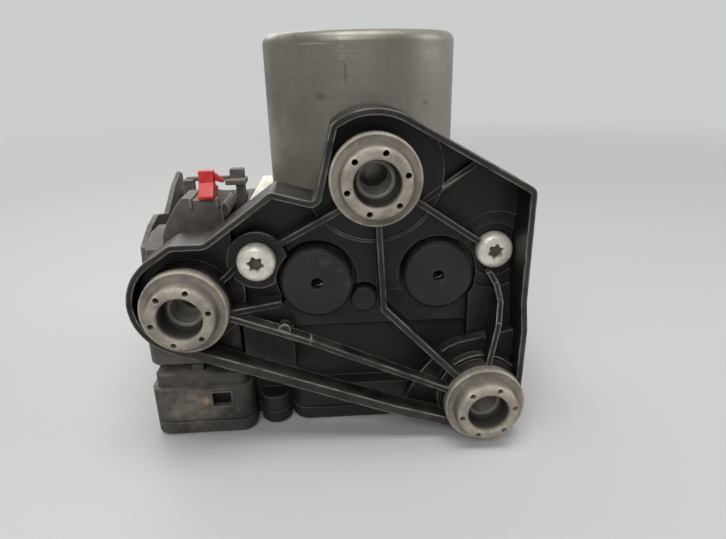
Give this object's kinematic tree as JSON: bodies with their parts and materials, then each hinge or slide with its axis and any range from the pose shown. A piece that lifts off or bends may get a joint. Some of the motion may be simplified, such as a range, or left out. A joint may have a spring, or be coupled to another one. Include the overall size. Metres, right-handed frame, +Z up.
{
  "type": "abs brake hydraulic unit with mounting bracket",
  "caption": "Anti-lock brake hydraulic unit: round pump motor on a valve block over a flat control unit, with a ribbed black bracket on rubber bushes and a mated lever plug.",
  "frame": {"origin": "on the motor axis, on the flat underside of the control unit's cover", "axes": "+Z up along the motor axis, -Y towards the bracket and its bushes, +X to the right seen from the bracket's side"},
  "size_m": [0.1285, 0.1046, 0.132],
  "materials": {
    "black_nylon": "moulded glass-filled nylon, near black, rib and rim edges rubbed lighter",
    "bush_rubber": "warm grey rubber, dusty",
    "zinc_steel": "dull zinc plating",
    "black_aluminium": "black anodised block with a bright machined top face",
    "cap_plastic": "charcoal cap, smudged",
    "plated_can": "drawn steel can, dull plating, faint rings, a few scratches",
    "bright_steel": "ground steel",
    "brush_plate_plastic": "moulded phenolic",
    "brush_carbon": "carbon",
    "magnet_ferrite": "sintered ferrite",
    "copper": "copper",
    "unit_plastic": "dark grey moulded plastic with dust in its corners",
    "board_laminate": "green laminate",
    "tinned_brass": "tinned",
    "plug_plastic": "dusty dark plastic, worn",
    "red_latch": "red plastic",
    "seal_rubber": "seal rubber"
  },
  "bodies": {
    "unit": {"mounting_bracket": "black_nylon", "upper_bush": "bush_rubber", "left_bush": "bush_rubber", "right_bush": "bush_rubber", "upper_bush_sleeve": "zinc_steel", "left_bush_sleeve": "zinc_steel", "right_bush_sleeve": "zinc_steel", "bracket_bolts": "zinc_steel", "motor_screws": "zinc_steel", "control_unit_screws": "zinc_steel", "hydraulic_block": "black_aluminium", "left_accumulator_cap": "cap_plastic", "right_accumulator_cap": "cap_plastic", "pressure_plug": "cap_plastic", "motor_can": "plated_can", "left_accumulator_spring": "bright_steel", "right_accumulator_spring": "bright_steel", "left_pump_plug": "bright_steel", "right_pump_plug": "bright_steel", "upper_bearing": "bright_steel", "lower_bearing": "bright_steel", "inlet_valve_1": "bright_steel", "inlet_valve_2": "bright_steel", "inlet_valve_3": "bright_steel", "inlet_valve_4": "bright_steel", "outlet_valve_1": "bright_steel", "outlet_valve_2": "bright_steel", "outlet_valve_3": "bright_steel", "outlet_valve_4": "bright_steel", "motor_end_plate": "brush_plate_plastic", "front_brush": "brush_carbon", "rear_brush": "brush_carbon", "left_magnet": "magnet_ferrite", "right_magnet": "magnet_ferrite", "valve_coils": "copper", "control_unit_housing": "unit_plastic", "control_unit_cover": "unit_plastic", "circuit_board": "board_laminate", "header_pins": "tinned_brass", "plug_housing": "plug_plastic", "plug_cover": "plug_plastic", "plug_seal": "seal_rubber"},
    "rotor": {"rotor_shaft": "bright_steel", "eccentric_ring": "bright_steel", "rotor_core": "bright_steel", "rotor_winding": "copper", "commutator": "copper"},
    "left_piston": {"left_pump_piston": "bright_steel"},
    "right_piston": {"right_pump_piston": "bright_steel"},
    "left_store": {"left_accumulator_piston": "bright_steel"},
    "right_store": {"right_accumulator_piston": "bright_steel"},
    "lever": {"plug_lever": "plug_plastic"},
    "latch": {"plug_latch": "red_latch"}
  },
  "joints": [
    {"name": "motor_spin", "type": "hinge", "parent": "unit", "child": "rotor", "pos_m": [0, 0, 0.1], "axis": [0, 0, 1], "continuous": true},
    {"name": "left_pump_stroke", "type": "slide", "parent": "unit", "child": "left_piston", "axis": [-1, 0, 0], "range_m": [0, 0.002]},
    {"name": "right_pump_stroke", "type": "slide", "parent": "unit", "child": "right_piston", "axis": [1, 0, 0], "range_m": [0, 0.002]},
    {"name": "left_store_travel", "type": "slide", "parent": "unit", "child": "left_store", "axis": [0, -1, 0], "range_m": [0, 0.008], "deforming": ["left_accumulator_spring"]},
    {"name": "right_store_travel", "type": "slide", "parent": "unit", "child": "right_store", "axis": [0, -1, 0], "range_m": [0, 0.008], "deforming": ["right_accumulator_spring"]},
    {"name": "plug_lever_swing", "type": "hinge", "parent": "unit", "child": "lever", "pos_m": [-0.0605, -0.004, 0.054], "axis": [-1, 0, 0], "range_deg": [0, 40]},
    {"name": "latch_slide", "type": "slide", "parent": "unit", "child": "latch", "axis": [0, 0, 1], "range_m": [0, 0.003]}
  ]
}
